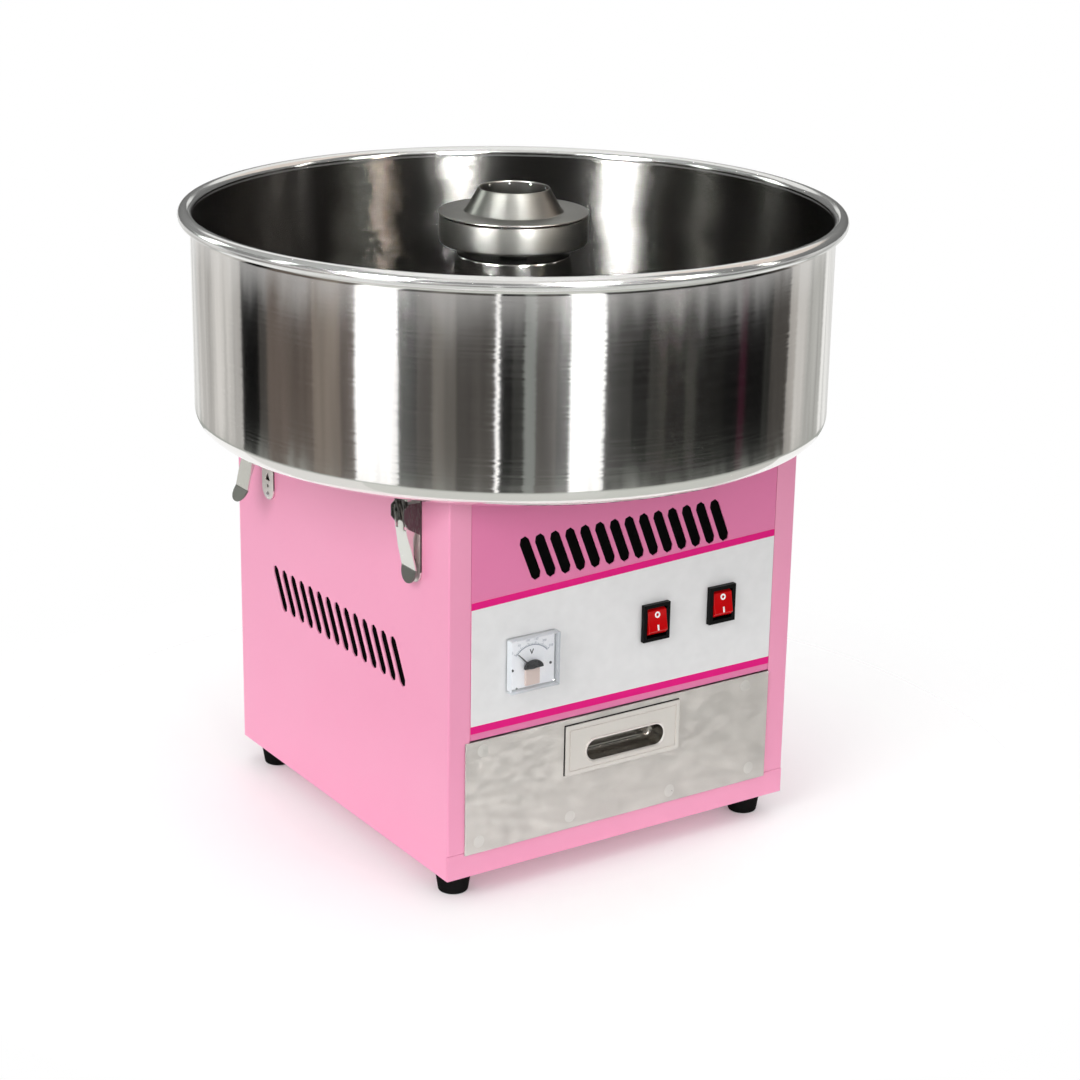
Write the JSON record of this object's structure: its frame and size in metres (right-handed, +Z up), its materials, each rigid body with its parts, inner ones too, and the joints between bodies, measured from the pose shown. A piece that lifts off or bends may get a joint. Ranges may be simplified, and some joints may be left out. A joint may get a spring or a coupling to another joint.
{
  "type": "cotton candy machine",
  "caption": "Countertop electric cotton candy machine: pink steel cabinet with a drawer, meter and rocker switches under a wide polished steel bowl with a spinning head.",
  "frame": {"origin": "centre of the bowl's axis at table level, under the feet", "axes": "+Z up, the control panel faces -Y, +X to the right seen from the front"},
  "size_m": [0.5198, 0.5198, 0.506],
  "materials": {
    "painted_steel": "glossy pink powder coat",
    "overlay_film": "printed film, satin",
    "rubber": "matt moulded rubber",
    "zinc_steel": "zinc plated sheet and wire",
    "dull_steel": "dull galvanised sheet with spot weld marks",
    "polished_steel": "polished stainless steel",
    "black_plastic": "moulded black plastic",
    "red_plastic": "glossy red rocker",
    "dial_white": "printed dial card",
    "clear_plastic": "clear moulded cover",
    "motor_steel": "bare motor steel",
    "cast_aluminium": "as cast",
    "bearing_steel": "ground bearing steel",
    "brown_plastic": "moulded phenolic",
    "brass": "turned brass",
    "carbon": "pressed carbon graphite",
    "heater_metal": "heat stained heater ring"
  },
  "bodies": {
    "cabinet": {"base_pan": "painted_steel", "foot_front_left": "rubber", "foot_front_right": "rubber", "foot_back_left": "rubber", "foot_back_right": "rubber", "side_panel_left": "painted_steel", "side_panel_right": "painted_steel", "front_panel": "painted_steel", "control_overlay": "overlay_film", "back_panel": "painted_steel", "top_deck": "zinc_steel", "bowl_gasket": "rubber", "drawer_runner_left": "zinc_steel", "drawer_runner_right": "zinc_steel", "heat_switch_body": "black_plastic", "power_switch_body": "black_plastic", "meter_case": "black_plastic", "meter_dial": "dial_white", "meter_lens": "clear_plastic", "meter_shroud": "black_plastic", "power_inlet": "black_plastic", "motor_bracket": "zinc_steel", "motor_stator": "motor_steel", "motor_bell_top": "cast_aluminium", "motor_bell_bottom": "cast_aluminium", "motor_bearing_top": "bearing_steel", "motor_bearing_bottom": "bearing_steel", "brush_lower": "carbon", "brush_upper": "carbon", "brush_holder": "brown_plastic", "column_cover": "polished_steel", "latch_base_front_left": "zinc_steel", "latch_base_back_left": "zinc_steel", "latch_base_front_right": "zinc_steel", "latch_base_back_right": "zinc_steel"},
    "spinner": {"rotor_shaft": "motor_steel", "slip_ring_hub": "brown_plastic", "slip_ring_lower": "brass", "slip_ring_upper": "brass", "head_hub": "cast_aluminium", "head_base": "polished_steel", "heater_ring": "heater_metal", "head_nut": "brass", "head_top": "polished_steel"},
    "floss_bowl": {"bowl": "polished_steel"},
    "drawer": {"drawer_tray": "dull_steel", "drawer_front": "dull_steel", "drawer_handle": "polished_steel"},
    "heat_rocker": {"heat_switch_rocker": "red_plastic"},
    "power_rocker": {"power_switch_rocker": "red_plastic"},
    "needle": {"meter_needle": "black_plastic"},
    "lever_front_left": {"latch_lever_front_left": "polished_steel"},
    "bail_front_left": {"latch_bail_front_left": "zinc_steel"},
    "lever_back_left": {"latch_lever_back_left": "polished_steel"},
    "bail_back_left": {"latch_bail_back_left": "zinc_steel"},
    "lever_front_right": {"latch_lever_front_right": "polished_steel"},
    "bail_front_right": {"latch_bail_front_right": "zinc_steel"},
    "lever_back_right": {"latch_lever_back_right": "polished_steel"},
    "bail_back_right": {"latch_bail_back_right": "zinc_steel"}
  },
  "joints": [
    {"name": "spinner_turn", "type": "hinge", "parent": "cabinet", "child": "spinner", "pos_m": [0, 0, 0.4], "axis": [0, 0, 1], "continuous": true},
    {"name": "bowl_lift", "type": "slide", "parent": "cabinet", "child": "floss_bowl", "axis": [0, 0, 1], "range_m": [0, 0.2]},
    {"name": "drawer_slide", "type": "slide", "parent": "cabinet", "child": "drawer", "axis": [0, -1, 0], "range_m": [0, 0.22]},
    {"name": "heat_rocker_tilt", "type": "hinge", "parent": "cabinet", "child": "heat_rocker", "pos_m": [0.0254, -0.1644, 0.1951], "axis": [1, 0, 0], "range_deg": [0, 18]},
    {"name": "power_rocker_tilt", "type": "hinge", "parent": "cabinet", "child": "power_rocker", "pos_m": [0.0885, -0.1644, 0.1979], "axis": [1, 0, 0], "range_deg": [0, 18]},
    {"name": "needle_sweep", "type": "hinge", "parent": "cabinet", "child": "needle", "pos_m": [-0.089, -0.17, 0.181], "axis": [0, 1, 0], "range_deg": [0, 90], "stiffness_Nm_per_rad": 0.0001},
    {"name": "lever_front_left_open", "type": "hinge", "parent": "cabinet", "child": "lever_front_left", "pos_m": [-0.1715, -0.119, 0.303], "axis": [0, 1, 0], "range_deg": [0, 75]},
    {"name": "bail_front_left_swing", "type": "hinge", "parent": "lever_front_left", "child": "bail_front_left", "pos_m": [-0.169, -0.119, 0.2935], "axis": [0, 1, 0], "range_deg": [-95.01, 0.01]},
    {"name": "lever_back_left_open", "type": "hinge", "parent": "cabinet", "child": "lever_back_left", "pos_m": [-0.1715, 0.111, 0.303], "axis": [0, 1, 0], "range_deg": [-25, 50]},
    {"name": "bail_back_left_swing", "type": "hinge", "parent": "lever_back_left", "child": "bail_back_left", "pos_m": [-0.17325, 0.111, 0.29333], "axis": [0, 1, 0], "range_deg": [-63.34, 31.68]},
    {"name": "lever_front_right_open", "type": "hinge", "parent": "cabinet", "child": "lever_front_right", "pos_m": [0.1715, -0.119, 0.303], "axis": [0, -1, 0], "range_deg": [0, 75]},
    {"name": "bail_front_right_swing", "type": "hinge", "parent": "lever_front_right", "child": "bail_front_right", "pos_m": [0.169, -0.119, 0.2935], "axis": [0, -1, 0], "range_deg": [-95.01, 0.01]},
    {"name": "lever_back_right_open", "type": "hinge", "parent": "cabinet", "child": "lever_back_right", "pos_m": [0.1715, 0.111, 0.303], "axis": [0, -1, 0], "range_deg": [0, 75]},
    {"name": "bail_back_right_swing", "type": "hinge", "parent": "lever_back_right", "child": "bail_back_right", "pos_m": [0.169, 0.111, 0.2935], "axis": [0, -1, 0], "range_deg": [-95.01, 0.01]}
  ],
  "couplings": [
    {"joint": "bail_front_left_swing", "follows": "lever_front_left_open", "ratio": -1.2667},
    {"joint": "bail_back_left_swing", "follows": "lever_back_left_open", "ratio": -1.2667},
    {"joint": "bail_front_right_swing", "follows": "lever_front_right_open", "ratio": -1.2667},
    {"joint": "bail_back_right_swing", "follows": "lever_back_right_open", "ratio": -1.2667}
  ]
}
